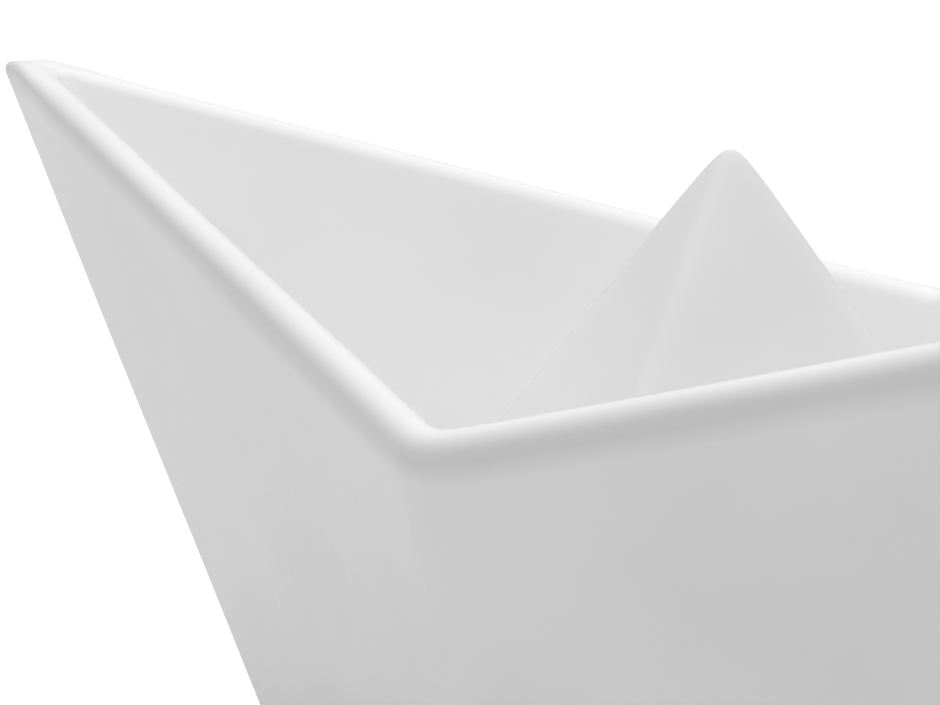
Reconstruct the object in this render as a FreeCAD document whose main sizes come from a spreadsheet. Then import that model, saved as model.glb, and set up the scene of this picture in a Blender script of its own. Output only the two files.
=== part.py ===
import FreeCAD
import Part

import math
import os

import Sketcher
from FreeCAD import Vector

# A porcelain centrepiece shaped like a folded paper boat.
# The hull is an upside-down pyramid on a rhombus, cut off level at the foot and in a
# shallow V at the rim. A hollow four-sided peak stands inside it, luted to the hull's
# inner walls with a bead of slip, and four silicone bumpers carry the whole.
# X runs from bow (-) to stern (+), Y across, Z up from the table. Millimetres.

DIMENSIONS = {
    # hull: at any height its outline is a rhombus of the same proportions
    "base_half_length": 99.6,   # centre to stem, with the stem carried down to the table
    "stem_flare": 0.5588,         # a stem leans out by this much for each mm of height
    "beam_ratio": 0.549,        # half width over half length
    "wall": 7.0,                 # square to the face
    "stem_round": 3.5,
    "crease_round": 10.0,
    "inner_stem_round": 3.0,
    "inner_crease_round": 6.0,
    # rim, called the sheer on a boat
    "sheer_mid": 86.6,           # height amidships
    "sheer_rise": 0.2556,         # gained for each mm towards a tip
    "sheer_round": 6.0,          # bend amidships, seen from the side
    "tip_height": 127.8,         # the tips are cut off level here
    "rim_outer_round": 3.0,
    "rim_inner_round": 2.4,
    # foot
    "foot_height": 1.0,          # the foot ring stands this far off the table
    "foot_ring": 6.0,
    "recess_depth": 1.5,
    "floor_top": 9.0,
    "vent_radius": 2.0,
    # peak
    "peak_height": 122.8,        # where its four edges would meet if they were sharp
    "peak_run": 0.865,           # half length gained for each mm down from there
    "peak_ratio": 0.782,         # half width over half length
    "peak_wall": 6.0,
    "peak_cut": 4.2,             # the flat faces stop this far short of it
    "peak_edge_round": 1.5,
    "peak_top_round": 3.0,       # a ball that touches all four faces
    "peak_inner_round": 1.0,
    "core_height": 103.0,         # the hollow inside the peak ends here
    # bead of slip in the corner between peak and hull
    "bead_radius": 3.5,
    # bumpers
    "bumper_radius": 5.0,
    "bumper_height": 2.5,
    "bumper_round": 0.8,
    "bumper_long": 76.0,         # centre of the boat to the bow and stern bumpers
    "bumper_cross": 42.0,        # centre of the boat to the side bumpers
}

doc = FreeCAD.newDocument("paper_boat")


def make_sheet():
    sheet = doc.addObject("Spreadsheet::Sheet", "dims")
    for row, (alias, number) in enumerate(DIMENSIONS.items(), start=1):
        sheet.set(f"A{row}", alias)
        sheet.set(f"B{row}", str(number))
        sheet.setAlias(f"B{row}", alias)
    doc.recompute()
    return sheet


sheet = make_sheet()


def read(expression):
    """The number that an expression on the sheet comes to."""
    return float(sheet.evalExpression(expression.replace("dims.", "")))


# Half lengths of the four nested pyramids, as expressions of a height z.
# A wall of thickness w moves a face x + y / ratio = h(z) inwards by w times the
# length of its normal (1, 1 / ratio, slope).

def hull_outside(z):
    return f"(dims.base_half_length + dims.stem_flare * ({z}))"


def hull_inside(z):
    normal = "sqrt(1 + 1 / dims.beam_ratio ^ 2 + dims.stem_flare ^ 2)"
    return f"({hull_outside(z)} - dims.wall * {normal})"


def peak_outside(z):
    return f"((dims.peak_height - ({z})) * dims.peak_run)"


def peak_inside(z):
    normal = "sqrt(1 + 1 / dims.peak_ratio ^ 2 + dims.peak_run ^ 2)"
    return f"({peak_outside(z)} - dims.peak_wall * {normal})"


def plane_of(body, role):
    return next(f for f in body.Origin.OriginFeatures if f.Role == role)


def new_sketch(body, name, role, height="0"):
    sketch = body.newObject("Sketcher::SketchObject", name)
    sketch.AttachmentSupport = [(plane_of(body, role), "")]
    sketch.MapMode = "FlatFace"
    sketch.setExpression(".AttachmentOffset.Base.z", height)
    return sketch


def bind(sketch, constraint, expression):
    index = sketch.addConstraint(constraint)
    sketch.setExpression(f"Constraints[{index}]", expression)


def pin(sketch, geometry, point, x, y):
    """Holds one point of a sketch at two expressions."""
    bind(sketch, Sketcher.Constraint("DistanceX", -1, 1, geometry, point, read(x)), x)
    bind(sketch, Sketcher.Constraint("DistanceY", -1, 1, geometry, point, read(y)), y)


def soft_rhombus(body, name, half_length, ratio, long_round, cross_round, height):
    """A rhombus about the origin with its four corners rounded.

    A side leans by the angle whose tangent is the ratio. A corner's arc is centred
    back from the sharp corner by its radius over the sine of half the corner.
    """
    sketch = new_sketch(body, name, "XY_Plane", height)
    slope = f"sqrt(1 + ({ratio}) ^ 2)"
    long_centre = f"({half_length} - ({long_round}) * {slope} / ({ratio}))"
    cross_centre = f"({half_length} * ({ratio}) - ({cross_round}) * {slope})"
    lean = math.atan(read(ratio))
    corners = []
    for turn in range(4):
        lengthwise = turn % 2 == 0
        centre = read(long_centre if lengthwise else cross_centre)
        radius = read(long_round if lengthwise else cross_round)
        half_sweep = math.pi / 2 - lean if lengthwise else lean
        middle = turn * math.pi / 2
        at = Vector(centre * math.cos(middle), centre * math.sin(middle), 0)
        circle = Part.Circle(at, Vector(0, 0, 1), radius)
        arc = Part.ArcOfCircle(circle, middle - half_sweep, middle + half_sweep)
        corners.append(sketch.addGeometry(arc, False))
    for turn, corner in enumerate(corners):
        after = corners[(turn + 1) % 4]
        start = sketch.Geometry[corner].EndPoint
        end = sketch.Geometry[after].StartPoint
        side = sketch.addGeometry(Part.LineSegment(start, end), False)
        sketch.addConstraint(Sketcher.Constraint("Tangent", corner, 2, side, 1))
        sketch.addConstraint(Sketcher.Constraint("Tangent", side, 2, after, 1))
    pin(sketch, corners[0], 3, long_centre, "0")
    pin(sketch, corners[1], 3, "0", cross_centre)
    pin(sketch, corners[2], 3, f"-{long_centre}", "0")
    pin(sketch, corners[3], 3, "0", f"-{cross_centre}")
    for turn, corner in enumerate(corners):
        radius = cross_round if turn % 2 else long_round
        bind(sketch, Sketcher.Constraint("Radius", corner, read(radius)), radius)
    return sketch


def circle(body, name, radius, height="0", x="0", y="0"):
    sketch = new_sketch(body, name, "XY_Plane", height)
    sketch.addGeometry(Part.Circle(Vector(read(x), read(y), 0), Vector(0, 0, 1), read(radius)), False)
    pin(sketch, 0, 3, x, y)
    bind(sketch, Sketcher.Constraint("Radius", 0, read(radius)), radius)
    return sketch


def pyramid(body, kind, name, half_at, ratio, rounds, low, high):
    """A ruled loft from one soft rhombus to another of the same proportions."""
    bottom = soft_rhombus(body, f"{name}_low", half_at(low), ratio, *rounds, low)
    top = soft_rhombus(body, f"{name}_high", half_at(high), ratio, *rounds, high)
    feature = body.newObject(kind, name)
    feature.Profile = bottom
    feature.Sections = [top]
    feature.Ruled = True
    doc.recompute()
    return feature


def extrude(body, kind, name, sketch, length):
    """Both kinds go up: a pocket starts at its sketch and cuts what is above it."""
    feature = body.newObject(kind, name)
    feature.Profile = sketch
    feature.Reversed = kind == "PartDesign::Pocket"
    feature.setExpression("Length", length)
    doc.recompute()
    return feature


def middle_of(edge):
    return edge.valueAt((edge.FirstParameter + edge.LastParameter) / 2)


def fillet(body, name, base, belongs, radius):
    """Rounds the edges whose middles pass a test."""
    names = [f"Edge{i}" for i, e in enumerate(base.Shape.Edges, start=1) if belongs(middle_of(e))]
    if not names:
        raise RuntimeError(f"{name}: no edge to round")
    feature = body.newObject("PartDesign::Fillet", name)
    feature.Base = (base, names)
    feature.setExpression("Radius", radius)
    doc.recompute()
    return feature


def sheer_cut(body):
    """Takes away everything above the rim: a shallow V whose bottom is an arc."""
    sketch = new_sketch(body, "sheer", "XZ_Plane")
    over = "(dims.tip_height + 5)"
    across = f"(({over} - dims.sheer_mid) / dims.sheer_rise)"
    secant = "sqrt(1 + dims.sheer_rise ^ 2)"
    centre = f"(dims.sheer_mid + dims.sheer_round * {secant})"
    lean = math.atan(read("dims.sheer_rise"))
    bend = Part.Circle(Vector(0, read(centre), 0), Vector(0, 0, 1), read("dims.sheer_round"))
    arc = Part.ArcOfCircle(bend, -math.pi / 2 - lean, -math.pi / 2 + lean)
    sketch.addGeometry(arc, False)
    port = Vector(-read(across), read(over), 0)
    starboard = Vector(read(across), read(over), 0)
    sketch.addGeometry(Part.LineSegment(arc.EndPoint, starboard), False)
    sketch.addGeometry(Part.LineSegment(starboard, port), False)
    sketch.addGeometry(Part.LineSegment(port, arc.StartPoint), False)
    sketch.addConstraint(Sketcher.Constraint("Tangent", 0, 2, 1, 1))
    sketch.addConstraint(Sketcher.Constraint("Coincident", 1, 2, 2, 1))
    sketch.addConstraint(Sketcher.Constraint("Coincident", 2, 2, 3, 1))
    sketch.addConstraint(Sketcher.Constraint("Tangent", 3, 2, 0, 1))
    bind(sketch, Sketcher.Constraint("Radius", 0, read("dims.sheer_round")), "dims.sheer_round")
    pin(sketch, 0, 3, "0", centre)
    pin(sketch, 1, 2, across, over)
    pin(sketch, 2, 2, f"-{across}", over)
    feature = body.newObject("PartDesign::Pocket", "sheer_cut")
    feature.Profile = sketch
    feature.Midplane = True
    feature.setExpression("Length", "4 * dims.base_half_length")
    doc.recompute()
    return feature


def rim_height(x):
    return min(read("dims.tip_height"), read("dims.sheer_mid") + read("dims.sheer_rise") * abs(x))


def on_rim(p):
    return abs(p.z - rim_height(p.x)) < 0.8


def across_wall(p):
    """From -1 on the wall's inner face to 1 on its outer face."""
    here = abs(p.x) + abs(p.y) / read("dims.beam_ratio")
    outer, inner = read(hull_outside(p.z)), read(hull_inside(p.z))
    return (2 * here - outer - inner) / (outer - inner)


def at_height(expression):
    level = read(expression)
    return lambda p: abs(p.z - level) < 0.01


def body_named(label):
    body = doc.addObject("PartDesign::Body", label)
    body.Label = label
    return body


def make_bowl(body, kind):
    """The hollow of the hull: cut out of it, or made solid to trim what stands in it."""
    rounds = ("dims.inner_stem_round", "dims.inner_crease_round")
    return pyramid(body, kind, "bowl", hull_inside, "dims.beam_ratio", rounds,
                   "dims.floor_top", "dims.tip_height")


def make_recess(body):
    """Leaves a ring to stand on, as wide as foot_ring on every side."""
    inset = "dims.foot_ring * sqrt(1 + 1 / dims.beam_ratio ^ 2)"
    half_length = f"({hull_outside('dims.foot_height')} - {inset})"
    rounds = ("dims.inner_stem_round", "dims.inner_crease_round")
    outline = soft_rhombus(body, "recess", half_length, "dims.beam_ratio", *rounds, "dims.foot_height")
    return extrude(body, "PartDesign::Pocket", "foot_recess", outline, "dims.recess_depth")


def make_vent(body):
    """Lets the air out of the closed peak while it is fired."""
    outline = circle(body, "vent", "dims.vent_radius")
    return extrude(body, "PartDesign::Pocket", "vent_hole", outline, "2 * dims.floor_top")


def make_hull():
    body = body_named("hull_shell")
    rounds = ("dims.stem_round", "dims.crease_round")
    pyramid(body, "PartDesign::AdditiveLoft", "outside", hull_outside, "dims.beam_ratio",
            rounds, "dims.foot_height", "dims.tip_height")
    make_bowl(body, "PartDesign::SubtractiveLoft")
    solid = sheer_cut(body)
    solid = fillet(body, "rim_outside", solid, lambda p: on_rim(p) and across_wall(p) > 0,
                   "dims.rim_outer_round")
    fillet(body, "rim_inside", solid, lambda p: on_rim(p) and across_wall(p) < -0.8,
           "dims.rim_inner_round")
    make_recess(body)
    make_vent(body)
    return body


def make_bowl_form():
    body = body_named("bowl_form")
    make_bowl(body, "PartDesign::AdditiveLoft")
    return body


def make_peak_form():
    """The peak as a solid block down to the floor, wider there than the bowl that trims it."""
    body = body_named("peak_form")
    edge = "dims.peak_edge_round"
    pyramid(body, "PartDesign::AdditiveLoft", "peak", peak_outside, "dims.peak_ratio",
            (edge, edge), "dims.floor_top", "(dims.peak_height - dims.peak_cut)")
    ball = body.newObject("PartDesign::AdditiveSphere", "apex")
    ball.setExpression("Radius", "dims.peak_top_round")
    normal = "sqrt(1 + 1 / dims.peak_ratio ^ 2 + dims.peak_run ^ 2)"
    below = f"dims.peak_top_round * {normal} / dims.peak_run"
    ball.setExpression(".AttachmentOffset.Base.z", f"dims.peak_height - {below}")
    ball.AttachmentSupport = [(plane_of(body, "XY_Plane"), "")]
    ball.MapMode = "FlatFace"
    return body


def make_core_form():
    """The hollow inside the peak."""
    body = body_named("core_form")
    inner = "dims.peak_inner_round"
    pyramid(body, "PartDesign::AdditiveLoft", "core", peak_inside, "dims.peak_ratio",
            (inner, inner), "dims.floor_top", "dims.core_height")
    return body


def boolean(kind, label, base, tool):
    feature = doc.addObject(kind, label)
    feature.Label = label
    feature.Base = base
    feature.Tool = tool
    return feature


def seam_points():
    """Where the sharp edges of the peak meet the sharp corners of the bowl.

    The peak's faces are x + y / peak_ratio = peak_outside(z) and the walls are
    x + y / beam_ratio = hull_inside(z). Both are linear in z, so on an axis the heights agree
    where share * peak_outside = share * hull_inside, with a share of 1 along and a ratio across.
    """
    peak, wall = read(peak_outside("0")), read(hull_inside("0"))
    narrowing, widening = read("dims.peak_run"), read("dims.stem_flare")

    def meeting(peak_share, wall_share):
        closing = peak_share * narrowing + wall_share * widening
        z = (peak_share * peak - wall_share * wall) / closing
        return wall_share * (wall + widening * z), z

    along, along_z = meeting(1, 1)
    across, across_z = meeting(read("dims.peak_ratio"), read("dims.beam_ratio"))
    return [Vector(along, 0, along_z), Vector(0, across, across_z),
            Vector(-along, 0, along_z), Vector(0, -across, across_z)]


def make_coil():
    """A round coil of slip laid along the seam, before the neighbours trim it."""
    corners = seam_points()
    radius = read("dims.bead_radius")
    runs = []
    for here, there in zip(corners, corners[1:] + corners[:1]):
        runs.append(Part.makeCylinder(radius, (there - here).Length, here, there - here))
        runs.append(Part.makeSphere(radius, here))
    coil = doc.addObject("Part::Feature", "coil")
    coil.Shape = runs[0].fuse(runs[1:])
    return coil


def make_bumper(place, x, y):
    """A silicone dot stuck up into the foot's recess."""
    body = body_named(f"bumper_{place}")
    outline = circle(body, "outline", "dims.bumper_radius")
    dot = extrude(body, "PartDesign::Pad", "dot", outline, "dims.bumper_height")
    fillet(body, "dot_edge", dot, at_height("0"), "dims.bumper_round")
    body.setExpression("Placement.Base.x", x)
    body.setExpression("Placement.Base.y", y)
    return body


def make_parts():
    hull = make_hull()
    bowl = make_bowl_form()
    block = make_peak_form()
    peak_in_bowl = boolean("Part::Common", "peak_in_bowl", block, bowl)
    peak = boolean("Part::Cut", "sail_peak", peak_in_bowl, make_core_form())
    coil_in_bowl = boolean("Part::Common", "coil_in_bowl", make_coil(), bowl)
    bead = boolean("Part::Cut", "slip_bead", coil_in_bowl, block)
    bumpers = [
        make_bumper("bow", "-dims.bumper_long", "0"),
        make_bumper("stern", "dims.bumper_long", "0"),
        make_bumper("port", "0", "dims.bumper_cross"),
        make_bumper("starboard", "0", "-dims.bumper_cross"),
    ]
    doc.recompute()
    return [hull, peak, bead] + bumpers


def check(parts):
    for item in doc.Objects:
        if "Invalid" in item.State or "Error" in item.State:
            raise RuntimeError(f"{item.Name} failed: {item.State}")
    for part in parts:
        shape = part.Shape
        if shape.isNull() or not shape.isValid() or len(shape.Solids) != 1:
            raise RuntimeError(f"{part.Label} is not one valid solid")


def export(parts):
    os.makedirs("parts", exist_ok=True)
    for part in parts:
        part.Shape.exportStep(f"parts/{part.Label}.step")
        box = part.Shape.BoundBox
        print(f"{part.Label:20} {part.Shape.Volume / 1000:9.2f} cm3  "
              f"{box.XLength:6.1f} x {box.YLength:6.1f} x {box.ZLength:6.1f} mm, from z {box.ZMin:.2f}")


parts = make_parts()
check(parts)
export(parts)
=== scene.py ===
import bpy
import numpy as np
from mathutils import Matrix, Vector


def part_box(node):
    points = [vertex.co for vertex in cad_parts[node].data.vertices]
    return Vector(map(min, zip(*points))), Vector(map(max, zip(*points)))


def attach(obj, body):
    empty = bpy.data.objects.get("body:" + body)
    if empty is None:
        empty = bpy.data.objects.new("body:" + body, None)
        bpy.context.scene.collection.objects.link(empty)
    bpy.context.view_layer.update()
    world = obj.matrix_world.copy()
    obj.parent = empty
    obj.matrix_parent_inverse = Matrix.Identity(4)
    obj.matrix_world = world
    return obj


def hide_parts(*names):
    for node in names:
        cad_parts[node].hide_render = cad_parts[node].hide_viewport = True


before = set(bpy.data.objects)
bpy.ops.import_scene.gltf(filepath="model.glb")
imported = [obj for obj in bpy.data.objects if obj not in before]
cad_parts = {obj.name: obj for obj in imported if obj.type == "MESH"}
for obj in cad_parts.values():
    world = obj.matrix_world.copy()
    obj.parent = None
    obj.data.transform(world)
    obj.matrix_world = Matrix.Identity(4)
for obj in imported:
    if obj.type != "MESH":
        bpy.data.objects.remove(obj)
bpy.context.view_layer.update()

# A white glazed porcelain bowl in the form of a folded paper boat: hull, peak, the bead of
# slip between them, and four silicone bumpers under the foot.

mm = 0.001
print("frame loaded:", sorted(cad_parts))


def srgb(hexCode):
    # sRGB hex to the linear RGBA that nodes expect
    c = np.array([int(hexCode[i:i + 2], 16) for i in (1, 3, 5)]) / 255
    linear = np.where(c <= 0.04045, c / 12.92, ((c + 0.055) / 1.055) ** 2.4)
    return (*linear.tolist(), 1.0)


def addNode(tree, kind, settings=None, inputs=None, links=None):
    # settings are the node's own properties, inputs its socket values, links {socket: source}
    node = tree.nodes.new(kind)
    for name, value in (settings or {}).items():
        setattr(node, name, value)
    for name, value in (inputs or {}).items():
        node.inputs[name].default_value = value
    for name, source in (links or {}).items():
        tree.links.new(source, node.inputs[name])
    return node


def smoothStep(low, high, value):
    # 0 below low, 1 above high, and 3t^2 - 2t^3 between them
    t = np.clip((value - low) / (high - low), 0, 1)
    return t * t * (3 - 2 * t)


def unit(vectors):
    # each vector over its own length
    return vectors / np.linalg.norm(vectors, axis=-1, keepdims=True)


def gridNormals(points):
    # cross product of the differences round the piece and along the profile
    around = np.roll(points, -1, axis=0) - np.roll(points, 1, axis=0)
    return unit(np.cross(around, np.gradient(points, axis=1)))


def meshFromGrid(name, points, closedAcross=True, poles=None, attributes=None):
    # points is rows x columns x 3 in mm: rows go round the piece and always close up, columns
    # follow the profile. poles are the two points that cap the first and the last column.
    rows, cols = points.shape[:2]
    row, col = np.meshgrid(np.arange(rows), np.arange(cols if closedAcross else cols - 1), indexing="ij")
    nextRow, nextCol = (row + 1) % rows, (col + 1) % cols
    quads = np.stack([row * cols + col, nextRow * cols + col,
                      nextRow * cols + nextCol, row * cols + nextCol], axis=-1)
    faces = quads.reshape(-1, 4).tolist()
    corners = points.reshape(-1, 3)
    if poles is not None:
        here = np.arange(rows) * cols
        there = np.roll(here, -1)
        first, last = len(corners), len(corners) + 1
        faces += np.stack([there, here, here * 0 + first], axis=-1).tolist()
        faces += np.stack([here + cols - 1, there + cols - 1, here * 0 + last], axis=-1).tolist()
        corners = np.vstack([corners, poles])
    mesh = bpy.data.meshes.new(name)
    mesh.from_pydata((corners * mm).tolist(), [], faces)
    mesh.polygons.foreach_set("use_smooth", np.ones(len(mesh.polygons), bool))
    for key, values in (attributes or {}).items():
        layer = mesh.attributes.new(key, "FLOAT", "POINT")
        perVertex = np.zeros(len(corners), np.float32)
        perVertex[:rows * cols] = np.broadcast_to(values, (rows, cols)).ravel()
        layer.data.foreach_set("value", perVertex)
    mesh.update()
    piece = bpy.data.objects.new(name, mesh)
    bpy.context.scene.collection.objects.link(piece)
    return piece


# Everything below is in millimetres until a mesh is made.

boat = {
    "beamRatio": 0.549,         # half width over half length
    "baseHalf": 99.6,           # centre to stem, carried down to the table
    "stemFlare": 0.5588,        # lean of the stems
    "wall": 7.0,
    "sheerMid": 86.6,           # rim height amidships
    "sheerRise": 0.2556,        # gained for each mm towards a tip
    "sheerRound": 9.0,          # bend amidships
    "tipHeight": 127.8,         # where the sheer stops climbing
    "tipDroop": 0.10,           # the blunt tip falls away outwards by this slope
    "stemRound": 3.0,
    "creaseRound": 11.0,
    "innerStemRound": 3.0,
    "innerCreaseRound": 7.0,
    "floorTop": 9.0,
}


def hullOutside(z):
    # half length of the outer rhombus at height z
    return boat["baseHalf"] + boat["stemFlare"] * z


def hullInside(z):
    # the same, one wall in: a wall w thick moves the face x + y / ratio = h by w times its normal
    normal = np.sqrt(1 + 1 / boat["beamRatio"] ** 2 + boat["stemFlare"] ** 2)
    return hullOutside(z) - boat["wall"] * normal


def sheer(x):
    # a straight climb from a soft bend amidships, then the blunt tip
    soft = boat["sheerRound"] * boat["sheerRise"]
    climb = boat["sheerMid"] + boat["sheerRise"] * np.sqrt(x ** 2 + soft ** 2)
    tipStart = (boat["tipHeight"] - boat["sheerMid"]) / boat["sheerRise"]
    blunt = boat["tipHeight"] - boat["tipDroop"] * (np.abs(x) - tipStart)
    crisp = 0.25
    return (climb + blunt - np.sqrt((climb - blunt) ** 2 + crisp ** 2)) / 2


def roundTrip(ratio, stemSteps, sideSteps, creaseSteps):
    # Steps once round a rhombus with rounded corners. Each step is a fraction along its side,
    # 0 at the stem and 1 at the crease, the way it faces, and the signs of its quarter.
    side = np.arctan(1 / ratio)
    stem = np.linspace(0, side, stemSteps, endpoint=False)
    crease = np.linspace(side, np.pi / 2, creaseSteps)
    t = np.linspace(0, 1, sideSteps, endpoint=False)
    run = 0.35 * t + 0.65 * (1 - np.cos(np.pi * t)) / 2
    along = np.concatenate([0 * stem, run, 0 * crease + 1])
    facing = np.concatenate([stem, 0 * run + side, crease])
    back = slice(-2, 0, -1)
    there, home = np.ones(along.size), np.ones(along.size - 2)
    return {
        "along": np.concatenate([along, along[back], along, along[back]])[:, None],
        "facing": np.concatenate([facing, facing[back], facing, facing[back]])[:, None],
        "signX": np.concatenate([there, -home, -there, home])[:, None],
        "signY": np.concatenate([there, home, -there, -home])[:, None],
    }


def outline(trip, half, ratio, stemRound, creaseRound):
    # a corner's arc is centred back from the sharp corner by its radius over the sine of half of it
    secant = np.sqrt(1 + ratio ** 2)
    along, facing = trip["along"], trip["facing"]
    corner = (1 - along) * stemRound + along * creaseRound
    x = (1 - along) * (half - stemRound * secant / ratio) + corner * np.cos(facing)
    y = along * (half * ratio - creaseRound * secant) + corner * np.sin(facing)
    return trip["signX"] * x, trip["signY"] * y


def nearestOn(trip, x, y, half, ratio, stemRound, creaseRound):
    # the trip whose steps lie on a smaller rhombus, each nearest to a point outside it
    x, y = np.abs(x), np.abs(y)
    secant, side = np.sqrt(1 + ratio ** 2), np.arctan(1 / ratio)
    stemX, creaseY = half - stemRound * secant / ratio, half * ratio - creaseRound * secant
    startX, startY = stemX + stemRound * np.cos(side), stemRound * np.sin(side)
    endX, endY = creaseRound * np.cos(side), creaseY + creaseRound * np.sin(side)
    runX, runY = endX - startX, endY - startY
    along = ((x - startX) * runX + (y - startY) * runY) / (runX ** 2 + runY ** 2)
    atStem = np.clip(np.arctan2(y, x - stemX), 0, side)
    atCrease = np.clip(np.arctan2(y - creaseY, x), side, np.pi / 2)
    facing = np.where(along < 0, atStem, np.where(along > 1, atCrease, side))
    return dict(trip, along=np.clip(along, 0, 1), facing=facing)


def onSheer(trip, halfAt, stemRound, creaseRound):
    # where the wall's generator lines meet the sheer: each pass corrects the height for x
    z = np.full(trip["along"].shape, boat["sheerMid"])
    for _ in range(12):
        x, y = outline(trip, halfAt(z), boat["beamRatio"], stemRound, creaseRound)
        z = sheer(x)
    return x, y, z


def roundedProfile(corners, radii, arcSteps, runSteps):
    # Joins corners, a list of steps x 3 arrays, into a closed profile with round corners.
    # An arc is a rational curve of weight sin(half the corner) between its tangent points.
    # station counts corners along the profile: i - 0.02 to i + 0.02 is the arc at corner i.
    count = len(corners)
    t = np.linspace(0, 1, arcSteps)[None, :, None]
    arcs = []
    for i, here in enumerate(corners):
        before = unit(corners[i - 1] - here)
        after = unit(corners[(i + 1) % count] - here)
        half = np.arccos(np.clip((before * after).sum(-1, keepdims=True), -1, 1)) / 2
        reach = radii[i] / np.tan(half)
        start, end = (here + before * reach)[:, None], (here + after * reach)[:, None]
        weight = np.sin(half)[:, None]
        top = (1 - t) ** 2 * start + 2 * weight * t * (1 - t) * here[:, None] + t ** 2 * end
        arcs.append(top / ((1 - t) ** 2 + 2 * weight * t * (1 - t) + t ** 2))
    pieces, station = [], []
    for i, arc in enumerate(arcs):
        following = arcs[(i + 1) % count]
        steps = runSteps[i]
        s = (np.arange(1, steps) / steps)[None, :, None]
        pieces += [arc, arc[:, -1:] * (1 - s) + following[:, :1] * s]
        station += [i - 0.02 + 0.04 * t.ravel(), i + 0.02 + 0.96 * s.ravel()]
    return np.concatenate(pieces, axis=1), np.concatenate(station)


def ripple(points, height):
    # the slight unevenness of a cast wall: three slow sine waves across one another
    waves = ((0.052, 0.031, 0.044, 0.4), (-0.037, 0.071, 0.023, 2.1), (0.021, -0.043, 0.083, 4.0))
    total = sum(np.sin(points @ np.array(w[:3]) + w[3]) for w in waves)
    return height * total[..., None] / len(waves)


glaze = {
    "shadedWhite": "#D8D8D8",          # painted shade colour, where the painted light value is 0
    "full": "#FCFCFC",          # white of the painted light, where its value is 1
    "outside": 0.42,            # painted light on each surface: the outside is painted grey as shade, and a lighter inside stands in for light that the real walls pass or bounce and these don't
                                # for light that the real walls pass or bounce and these don't
    "inside": 1.0,
    "onPeak": 0.5,
    "lipShade": 0.45,           # painted shadow: a darker line along the outer turn of the lip
    "cloudy": 0.2,              # how much the tone wanders at random
    "cloudSize": 45.0,
    "bare": "#D5D0C6",          # unglazed foot ring
    "fleck": "#B9B7B2",
    "fleckCell": 16.0,
    "fleckRadius": 0.22,
    "roughness": (0.20, 0.30),
    "peelSize": 3.0,            # mm from crest to crest of the orange peel
    "grainSize": 0.4,           # mm, the bare clay's grain
    "bareRoughness": 0.8,
    "fleckCut": 0.93,           # a cell has a fleck where its random number is above this
    "bumpStrength": 0.1,
    "bumpDepth": 0.2,
}


hull = {
    "rimOuterRound": 3.2,       # the lip is all but a half circle
    "rimInnerRound": 3.9,
    "tipRound": 1.7,            # tighter round the blunt tips
    "tipBlend": (138.0, 160.0),
    "footHeight": 1.0,
    "footRing": 6.0,
    "footRound": 1.2,
    "recessTop": 2.5,
    "recessRound": 0.8,
    "floorRound": 5.0,
    "ventRadius": 2.0,
    "ventRound": 0.5,
    "ripple": 0.16,
    "aroundSteps": (14, 76, 18),               # at a stem, along a side, at a crease
    "arcSteps": 9,                             # across each corner of the profile
    "runSteps": [6, 2, 3, 26, 2, 24, 8, 3],    # between them, from the vent round to the vent
}


def makeHull():
    # One closed surface: a profile that goes from the vent, under the foot, up the outside,
    # over the lip, down the inside and over the floor, carried once round the boat.
    ratio = boat["beamRatio"]
    outRounds = boat["stemRound"], boat["creaseRound"]
    inRounds = boat["innerStemRound"], boat["innerCreaseRound"]
    trip = roundTrip(ratio, *hull["aroundSteps"])

    rimX, rimY, rimZ = onSheer(trip, hullOutside, *outRounds)
    inner = nearestOn(trip, rimX, rimY, hullInside(rimZ), ratio, *inRounds)
    lipX, lipY, lipZ = onSheer(inner, hullInside, *inRounds)
    foot = hull["footHeight"]
    footX, footY = outline(trip, hullOutside(foot), ratio, *outRounds)
    recessHalf = hullOutside(foot) - hull["footRing"] * np.sqrt(1 + 1 / ratio ** 2)
    recessX, recessY = outline(inner, recessHalf, ratio, *inRounds)
    floorX, floorY = outline(inner, hullInside(boat["floorTop"]), ratio, *inRounds)
    angle = np.arctan2(recessY, recessX)
    ventX, ventY = hull["ventRadius"] * np.cos(angle), hull["ventRadius"] * np.sin(angle)

    def level(x, y, z):
        return np.concatenate([x, y, np.full_like(x, z)], axis=1)

    corners = [
        level(ventX, ventY, hull["recessTop"]),
        level(recessX, recessY, hull["recessTop"]),
        level(recessX, recessY, foot),
        level(footX, footY, foot),
        np.concatenate([rimX, rimY, rimZ], axis=1),
        np.concatenate([lipX, lipY, lipZ], axis=1),
        level(floorX, floorY, boat["floorTop"]),
        level(ventX, ventY, boat["floorTop"]),
    ]
    nearTip = smoothStep(*hull["tipBlend"], np.abs(rimX))
    rimRound = hull["rimOuterRound"] * (1 - nearTip) + hull["tipRound"] * nearTip
    radii = [hull["ventRound"], hull["recessRound"], hull["recessRound"] / 2, hull["footRound"],
             rimRound, hull["rimInnerRound"], hull["floorRound"], hull["ventRound"]]
    points, station = roundedProfile(corners, radii, hull["arcSteps"], hull["runSteps"])
    # stations: 0 vent, 1 recess, 2 and 3 the foot ring's edges, 4 and 5 the lip's, 6 floor, 7 vent
    onWall = smoothStep(3.0, 3.1, station) * (1 - smoothStep(6.0, 6.1, station))
    normals = gridNormals(points)
    points = points + normals * ripple(points, hull["ripple"]) * onWall[None, :, None]
    bare = smoothStep(1.5, 1.95, station) * (1 - smoothStep(2.99, 3.05, station))
    within = smoothStep(3.99, 4.03, station)
    # painted shadow: a dark line along the outer turn of the lip, where the wall meets the rim
    lipShadeLine = np.exp(-((station - 3.985) / 0.02) ** 2)
    # painted light: the outside is painted darker as painted shade, and the inside lighter as painted light
    paintedLight = (1 - within) * glaze["outside"] + within * glaze["inside"] - lipShadeLine * glaze["lipShade"]
    piece = meshFromGrid("porcelain_hull", points, attributes={"bare": bare, "paintedLight": paintedLight})
    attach(piece, "root")
    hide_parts("hull_shell")
    return piece


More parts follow.
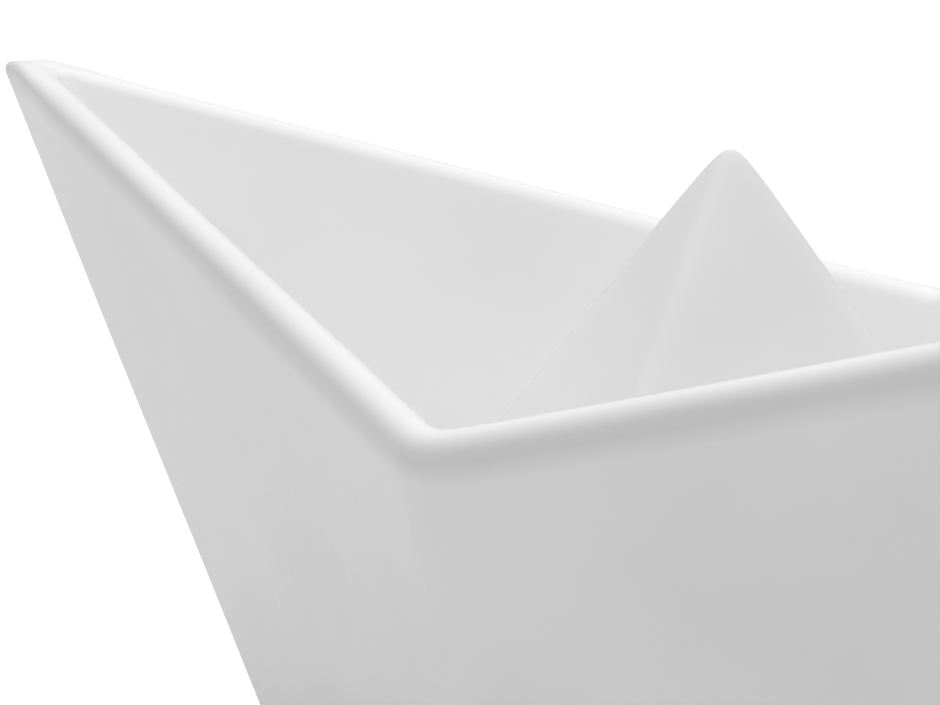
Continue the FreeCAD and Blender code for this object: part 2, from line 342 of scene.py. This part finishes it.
peak = {
    "apex": 123.4,              # where the four faces would meet
    "run": 0.865,               # half length gained for each mm down
    "ratio": 0.782,             # half width over half length
    "wall": 6.0,
    "sideSoft": (2.2, 2.8),     # softness of the edges towards the sides, at the apex and the foot
    "bowSoft": (1.5, 1.2),      # the same for the edges towards bow and stern
    "innerSoft": (1.0, 1.5),
    "sunk": 1.2,                # how far the foot is let into the hull
    "cornerSoft": 1.8,          # the hull's own inside corner, where the foot meets it
    "ripple": 0.12,
    "aroundSteps": 240,
    "crowding": 0.17,           # how much closer the steps are at the four edges
    "outsideSteps": 70,
    "insideSteps": 24,
}


def peakShape(z, inset, sideSoft, bowSoft):
    # half length and the two edge softnesses at height z, for the surface inset from the outside
    normal = np.sqrt(1 + 1 / peak["ratio"] ** 2 + peak["run"] ** 2)
    depth = peak["apex"] - z
    side = sideSoft[0] + (sideSoft[1] - sideSoft[0]) * depth / peak["apex"]
    bow = bowSoft[0] + (bowSoft[1] - bowSoft[0]) * depth / peak["apex"]
    return depth * peak["run"] - inset * normal, side, bow


def peakSlice(turn, z, inset, sideSoft, bowSoft):
    # sqrt(x^2 + a^2) + sqrt(y^2 + b^2) / ratio = half length: straight sides that bend round
    # hyperbolas at the edges. turn is an angle once round that shares the half length out.
    half, side, bow = peakShape(z, inset, sideSoft, bowSoft)
    spare = np.maximum(half - side - bow / peak["ratio"], 0)
    lengthwise = np.cos(turn) ** 2 * spare
    crosswise = np.sin(turn) ** 2 * spare * peak["ratio"]
    x = np.sign(np.cos(turn)) * np.sqrt(lengthwise * (lengthwise + 2 * side))
    y = np.sign(np.sin(turn)) * np.sqrt(crosswise * (crosswise + 2 * bow))
    return x, y


def peakTop(inset, sideSoft, bowSoft):
    # the height where nothing is left to share out: the remainder is linear in z
    heights = np.array([0.0, peak["apex"]])
    half, side, bow = peakShape(heights, inset, sideSoft, bowSoft)
    spare = half - side - bow / peak["ratio"]
    return heights[1] * spare[0] / (spare[0] - spare[1])


def peakFoot(turn, inset, sideSoft, bowSoft, sunk):
    # the height at which each line down the peak enters the hull, by halving the interval
    low = np.full(turn.shape, boat["floorTop"] - sunk)
    high = low + 40.0
    deep = sunk * np.sqrt(1 + 1 / boat["beamRatio"] ** 2)
    for _ in range(30):
        z = (low + high) / 2
        x, y = peakSlice(turn, z, inset, sideSoft, bowSoft)
        reach = np.sqrt(x ** 2 + peak["cornerSoft"] ** 2) + np.abs(y) / boat["beamRatio"]
        inWall = reach > hullInside(z) + deep
        low = np.where(inWall, z, low)
        high = np.where(inWall, high, z)
    return (low + high) / 2


def peakSheet(turn, inset, sideSoft, bowSoft, steps):
    # heights crowd together towards the top, where the surface turns level
    top = peakTop(inset, sideSoft, bowSoft)
    foot = peakFoot(turn, inset, sideSoft, bowSoft, peak["sunk"])
    climb = 1 - (1 - np.linspace(0, 1, steps, endpoint=False)[None]) ** 2
    z = foot + (top - foot) * climb
    x, y = peakSlice(turn, z, inset, sideSoft, bowSoft)
    return np.stack([x, y, z], axis=-1), top


def aroundPeak(steps):
    # angles once round, close together at the four edges
    even = np.linspace(0, 2 * np.pi, steps, endpoint=False)[:, None]
    return even - peak["crowding"] * np.sin(4 * even)


def makePeak():
    # a hollow shell: down the inside from its own tip, and up the outside to the apex
    turn = aroundPeak(peak["aroundSteps"])
    innerSoft = peak["innerSoft"]
    outside, outsideTop = peakSheet(turn, 0, peak["sideSoft"], peak["bowSoft"], peak["outsideSteps"])
    inside, insideTop = peakSheet(turn, peak["wall"], innerSoft, innerSoft, peak["insideSteps"])
    points = np.concatenate([inside[:, ::-1], outside], axis=1)
    height = points[..., 2]
    fade = smoothStep(8, 20, height) * (1 - smoothStep(95, 108, height))
    isOutside = np.arange(points.shape[1]) >= inside.shape[1]
    moved = ripple(points, peak["ripple"]) * (fade * isOutside)[..., None]
    points = points + gridNormals(points) * moved
    poles = np.array([[0, 0, insideTop], [0, 0, outsideTop]])
    # painted light: the peak takes one even painted tone, between the shaded outside and the lit inside
    paintedLight = np.full(points.shape[1], glaze["onPeak"])
    piece = meshFromGrid("porcelain_peak", points, closedAcross=False, poles=poles,
                         attributes={"paintedLight": paintedLight})
    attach(piece, "root")
    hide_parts("sail_peak")
    return piece


bead = {
    "leg": 3.4,                 # how far it climbs the peak and the wall
    "sunk": 0.8,
    "arcSteps": 12,
    "steps": 360,
}


def makeBead():
    # A hollow corner: a concave arc tangent to the peak's face and to the hull's wall, carried
    # round the seam, and closed behind the surfaces that it joins.
    turn = aroundPeak(bead["steps"])
    z = peakFoot(turn, 0, peak["sideSoft"], peak["bowSoft"], 0.0)
    x, y = peakSlice(turn, z, 0, peak["sideSoft"], peak["bowSoft"])
    seam = np.concatenate([x, y, z], axis=1)
    _, side, bow = peakShape(z, 0, peak["sideSoft"], peak["bowSoft"])
    faceNormal = unit(np.concatenate([x / np.sqrt(x ** 2 + side ** 2),
                                      y / np.sqrt(y ** 2 + bow ** 2) / peak["ratio"],
                                      0 * z + peak["run"]], axis=1))
    wallNormal = unit(np.concatenate([-x / np.sqrt(x ** 2 + peak["cornerSoft"] ** 2),
                                      -np.sign(y) / boat["beamRatio"],
                                      0 * z + boat["stemFlare"]], axis=1))
    facing = (faceNormal * wallNormal).sum(-1, keepdims=True)
    up = unit(wallNormal - facing * faceNormal)
    out = unit(faceNormal - facing * wallNormal)
    t = np.linspace(0, 1, bead["arcSteps"])[None, :, None]
    start, end = (seam + up * bead["leg"])[:, None], (seam + out * bead["leg"])[:, None]
    weight = np.sqrt((1 - (up * out).sum(-1)) / 2)[:, None, None]
    arc = (1 - t) ** 2 * start + 2 * weight * t * (1 - t) * seam[:, None] + t ** 2 * end
    arc = arc / ((1 - t) ** 2 + 2 * weight * t * (1 - t) + t ** 2)
    behind = np.stack([end[:, 0] - wallNormal * bead["sunk"],
                       seam - (faceNormal + wallNormal) * bead["sunk"],
                       start[:, 0] - faceNormal * bead["sunk"]], axis=1)
    points = np.concatenate([arc, behind], axis=1)
    # painted light: the bead is painted as light as the hull's inside
    paintedLight = np.full(points.shape[1], glaze["inside"])
    piece = meshFromGrid("slip_seam", points[:, ::-1], attributes={"paintedLight": paintedLight})
    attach(piece, "root")
    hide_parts("slip_bead")
    return piece


bumper = {
    "dome": 0.35,               # how far the top of the moulded dome stands above its shoulder
    "shoulder": 0.8,
    "backRound": 0.15,          # the moulded edge of the flat back
    "steps": 48,
    "clear": "#E6E9E8",
    "milky": "#D6DAD9",
    "transmission": 0.55,
    "hazeScale": 700.0,         # clouds per metre, about 1.4 mm each
    "satin": (0.30, 0.45),      # roughness
}


def makeBumper(place):
    # a silicone dot turned about its axis: flat back, straight side, soft shoulder, shallow dome
    low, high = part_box(f"bumper_{place}")
    centre = (low + high) / 2 / mm
    radius = (high.x - low.x) / 2 / mm
    tall = (high.z - low.z) / mm
    turn = np.linspace(0, np.pi / 2, 8)
    shoulder, backRound = bumper["shoulder"], bumper["backRound"]
    dome = np.linspace(1, 0, 8, endpoint=False)[1:] * (radius - shoulder)
    profileR = np.concatenate([np.linspace(0.2, 1, 5) * (radius - backRound), [radius],
                               radius - shoulder + shoulder * np.cos(turn), dome])
    fall = 1 - (dome / (radius - shoulder)) ** 2
    shoulderZ = bumper["dome"] + shoulder - shoulder * np.sin(turn)
    profileZ = np.concatenate([np.full(5, tall), [tall - backRound], shoulderZ, bumper["dome"] * (1 - fall)])
    angle = np.linspace(0, 2 * np.pi, bumper["steps"], endpoint=False)[:, None]
    x = centre.x + profileR * np.cos(angle)
    y = centre.y + profileR * np.sin(angle)
    points = np.stack([x, y, np.broadcast_to(profileZ, x.shape)], axis=-1)
    poles = np.array([[centre.x, centre.y, tall], [centre.x, centre.y, 0.0]])
    piece = meshFromGrid(f"silicone_{place}", points[:, ::-1], closedAcross=False, poles=poles[::-1])
    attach(piece, "root")
    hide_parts(f"bumper_{place}")
    return piece


def glazedPorcelain():
    # Porcelain, slip-cast and dipped in a clear glaze: white, with a soft broad sheen, a faint
    # orange peel, a rare pinhead fleck, and a matt biscuit ring where it stood in the kiln.
    material = bpy.data.materials.new("porcelain_clear_glaze")
    material.use_nodes = True
    tree = material.node_tree
    shader = tree.nodes["Principled BSDF"]
    shader.inputs["IOR"].default_value = 1.5
    place = addNode(tree, "ShaderNodeTexCoord").outputs["Object"]
    bare = addNode(tree, "ShaderNodeAttribute", {"attribute_name": "bare"}).outputs["Fac"]
    # this attribute is painted light and shade: grey outside and in a line under the lip as painted shade,
    # whiter inside as painted light
    paintedLight = addNode(tree, "ShaderNodeAttribute", {"attribute_name": "paintedLight"}).outputs["Fac"]

    cloud = addNode(tree, "ShaderNodeTexNoise", None,
                    {"Scale": 1000 / glaze["cloudSize"], "Detail": 2.0}, {"Vector": place})
    wander = addNode(tree, "ShaderNodeMapRange", None,
                     {"To Min": -glaze["cloudy"], "To Max": glaze["cloudy"]},
                     {"Value": cloud.outputs["Fac"]})
    # painted light and shade from the attribute, plus the glaze's random cloudy tone
    lightAndCloud = addNode(tree, "ShaderNodeMath", {"operation": "ADD", "use_clamp": True}, None,
                    {0: paintedLight, 1: wander.outputs["Result"]})
    body = addNode(tree, "ShaderNodeMix", {"data_type": "RGBA"},
                   {6: srgb(glaze["shadedWhite"]), 7: srgb(glaze["full"])}, {0: lightAndCloud.outputs[0]})

    cells = addNode(tree, "ShaderNodeTexVoronoi", None,
                    {"Scale": 1000 / glaze["fleckCell"]}, {"Vector": place})
    near = addNode(tree, "ShaderNodeMapRange", None,
                   {"From Min": glaze["fleckRadius"] / glaze["fleckCell"],
                    "From Max": 2.5 * glaze["fleckRadius"] / glaze["fleckCell"],
                    "To Min": 1.0, "To Max": 0.0}, {"Value": cells.outputs["Distance"]})
    chance = addNode(tree, "ShaderNodeSeparateColor", None, None, {"Color": cells.outputs["Color"]})
    rare = addNode(tree, "ShaderNodeMath", {"operation": "GREATER_THAN"},
                   {1: glaze["fleckCut"]}, {0: chance.outputs["Red"]})
    fleck = addNode(tree, "ShaderNodeMath", {"operation": "MULTIPLY"}, None,
                    {0: near.outputs["Result"], 1: rare.outputs[0]})
    flecked = addNode(tree, "ShaderNodeMix", {"data_type": "RGBA"}, {7: srgb(glaze["fleck"])},
                      {0: fleck.outputs[0], 6: body.outputs[2]})
    colour = addNode(tree, "ShaderNodeMix", {"data_type": "RGBA"}, {7: srgb(glaze["bare"])},
                     {0: bare, 6: flecked.outputs[2]})
    tree.links.new(colour.outputs[2], shader.inputs["Base Color"])

    sheen = addNode(tree, "ShaderNodeMapRange", None,
                    {"To Min": glaze["roughness"][0], "To Max": glaze["roughness"][1]},
                    {"Value": cloud.outputs["Fac"]})
    rough = addNode(tree, "ShaderNodeMix", {"data_type": "FLOAT"}, {3: glaze["bareRoughness"]},
                    {0: bare, 2: sheen.outputs["Result"]})
    tree.links.new(rough.outputs[0], shader.inputs["Roughness"])

    peel = addNode(tree, "ShaderNodeTexNoise", None,
                   {"Scale": 1000 / glaze["peelSize"], "Detail": 1.0}, {"Vector": place})
    grain = addNode(tree, "ShaderNodeTexNoise", None,
                    {"Scale": 1000 / glaze["grainSize"], "Detail": 3.0}, {"Vector": place})
    relief = addNode(tree, "ShaderNodeMix", {"data_type": "FLOAT"}, None,
                     {0: bare, 2: peel.outputs["Fac"], 3: grain.outputs["Fac"]})
    bump = addNode(tree, "ShaderNodeBump", None,
                   {"Strength": glaze["bumpStrength"], "Distance": glaze["bumpDepth"] * mm},
                   {"Height": relief.outputs[0]})
    tree.links.new(bump.outputs["Normal"], shader.inputs["Normal"])
    return material


def clearSilicone():
    # Silicone, moulded and slightly milky: light goes in and comes out soft, with a satin skin.
    material = bpy.data.materials.new("silicone_moulded")
    material.use_nodes = True
    tree = material.node_tree
    shader = tree.nodes["Principled BSDF"]
    shader.inputs["IOR"].default_value = 1.41
    shader.inputs["Transmission Weight"].default_value = bumper["transmission"]
    place = addNode(tree, "ShaderNodeTexCoord").outputs["Object"]
    haze = addNode(tree, "ShaderNodeTexNoise", None,
                   {"Scale": bumper["hazeScale"], "Detail": 2.0}, {"Vector": place})
    body = addNode(tree, "ShaderNodeMix", {"data_type": "RGBA"},
                   {6: srgb(bumper["clear"]), 7: srgb(bumper["milky"])}, {0: haze.outputs["Fac"]})
    tree.links.new(body.outputs[2], shader.inputs["Base Color"])
    satin = addNode(tree, "ShaderNodeMapRange", None,
                    {"To Min": bumper["satin"][0], "To Max": bumper["satin"][1]},
                    {"Value": haze.outputs["Fac"]})
    tree.links.new(satin.outputs["Result"], shader.inputs["Roughness"])
    return material


studio = {
    "azimuth": 0.65,            # radians round from straight ahead, towards the stern
    "elevation": 0.1856,
    "distance": 387.9,          # mm from the point it looks at
    "lookAt": (-51.0, 0.0, 80.6),
    "lens": 86.23,
    "paper": 0.8,
    "paperHalf": 30.0,          # metres
    "paperGlow": 0.45,          # for the camera only: it lights nothing
    "backdrop": 1.0,            # white past the end of the paper, for the camera only too
    "tentTop": 1.25,
    "tentBack": 0.65,           # low down behind the boat
    "tentBackEdge": (0.6, 0.95),
    "tentBow": 0.52,
    "tentStern": 0.42,
    "tentRise": (0.3, 0.9),     # sines of the heights where it begins and ends to brighten
    "softbox": 1.0,             # watts
    "softboxSize": (1.6, 1.2),
    "softboxAt": (-0.3, 0.2, 1.4),
}


def makeCamera():
    az, el = studio["azimuth"], studio["elevation"]
    back = Vector((np.sin(az) * np.cos(el), -np.cos(az) * np.cos(el), np.sin(el)))
    camera = bpy.data.cameras.new("camera")
    camera.lens = studio["lens"]
    camera.sensor_width = 36.0
    camera.clip_start = 0.01
    eye = bpy.data.objects.new("camera", camera)
    eye.location = (Vector(studio["lookAt"]) + back * studio["distance"]) * mm
    eye.rotation_euler = (-back).to_track_quat("-Z", "Y").to_euler()
    bpy.context.scene.collection.objects.link(eye)
    bpy.context.scene.camera = eye


def makeFloor():
    # Matt white paper, with a glow that only the camera sees, as on a lightbox.
    size = studio["paperHalf"]
    mesh = bpy.data.meshes.new("studio_floor")
    edge = [(-size, -size, 0), (size, -size, 0), (size, size, 0), (-size, size, 0)]
    mesh.from_pydata(edge, [], [(0, 1, 2, 3)])
    floor = bpy.data.objects.new("studio_floor", mesh)
    bpy.context.scene.collection.objects.link(floor)
    material = bpy.data.materials.new("white_paper")
    material.use_nodes = True
    tree = material.node_tree
    shader = tree.nodes["Principled BSDF"]
    shader.inputs["Base Color"].default_value = (*[studio["paper"]] * 3, 1)
    shader.inputs["Roughness"].default_value = 0.9
    shader.inputs["Specular IOR Level"].default_value = 0.1
    shader.inputs["Emission Color"].default_value = (1, 1, 1, 1)
    seen = addNode(tree, "ShaderNodeLightPath").outputs["Is Camera Ray"]
    glow = addNode(tree, "ShaderNodeMath", {"operation": "MULTIPLY"},
                   {1: studio["paperGlow"]}, {0: seen})
    tree.links.new(glow.outputs[0], shader.inputs["Emission Strength"])
    mesh.materials.append(material)


def makeLights():
    # A white tent: bright overhead, greyer low down, a little less so towards the bow, and a
    # little lighter again low down behind the boat, to soften its edges against the white.
    world = bpy.data.worlds.new("studio")
    world.use_nodes = True
    tree = world.node_tree
    sky = tree.nodes["Background"]
    way = addNode(tree, "ShaderNodeTexCoord").outputs["Generated"]
    split = addNode(tree, "ShaderNodeSeparateXYZ", None, None, {"Vector": way})
    soft = {"interpolation_type": "SMOOTHSTEP"}
    sides = addNode(tree, "ShaderNodeMapRange", soft,
                    {"From Min": -1.0, "To Min": studio["tentBow"], "To Max": studio["tentStern"]},
                    {"Value": split.outputs["X"]})
    az = studio["azimuth"]
    behind = addNode(tree, "ShaderNodeVectorMath", {"operation": "DOT_PRODUCT"},
                     {1: (-np.sin(az), np.cos(az), 0)}, {0: way})
    nearEdge, farEdge = studio["tentBackEdge"]
    low = addNode(tree, "ShaderNodeMapRange", soft,
                  {"From Min": nearEdge, "From Max": farEdge, "To Max": studio["tentBack"]},
                  {"Value": behind.outputs["Value"], "To Min": sides.outputs["Result"]})
    bottom, top = studio["tentRise"]
    tent = addNode(tree, "ShaderNodeMapRange", soft,
                   {"From Min": bottom, "From Max": top, "To Max": studio["tentTop"]},
                   {"Value": split.outputs["Z"], "To Min": low.outputs["Result"]})
    seen = addNode(tree, "ShaderNodeLightPath").outputs["Is Camera Ray"]
    shown = addNode(tree, "ShaderNodeMix", {"data_type": "FLOAT"}, {3: studio["backdrop"]},
                    {0: seen, 2: tent.outputs["Result"]})
    tree.links.new(shown.outputs[0], sky.inputs["Strength"])
    sky.inputs["Color"].default_value = (1, 1, 1, 1)
    bpy.context.scene.world = world

    light = bpy.data.lights.new("top_softbox", "AREA")
    light.shape = "RECTANGLE"
    light.size, light.size_y = studio["softboxSize"]
    light.energy = studio["softbox"]
    lamp = bpy.data.objects.new("top_softbox", light)
    lamp.location = studio["softboxAt"]
    lamp.rotation_euler = (-lamp.location).to_track_quat("-Z", "Y").to_euler()
    bpy.context.scene.collection.objects.link(lamp)
    scene = bpy.context.scene
    scene.view_settings.view_transform = "Standard"
    scene.view_settings.look = "None"


makeCamera()
makeFloor()
makeLights()
print("studio ready")

porcelain = glazedPorcelain()
silicone = clearSilicone()
for piece in (makeHull(), makePeak(), makeBead()):
    piece.data.materials.append(porcelain)
    print(piece.name, len(piece.data.polygons), "faces")
for place in ("bow", "stern", "port", "starboard"):
    makeBumper(place).data.materials.append(silicone)
print("bumpers ready")
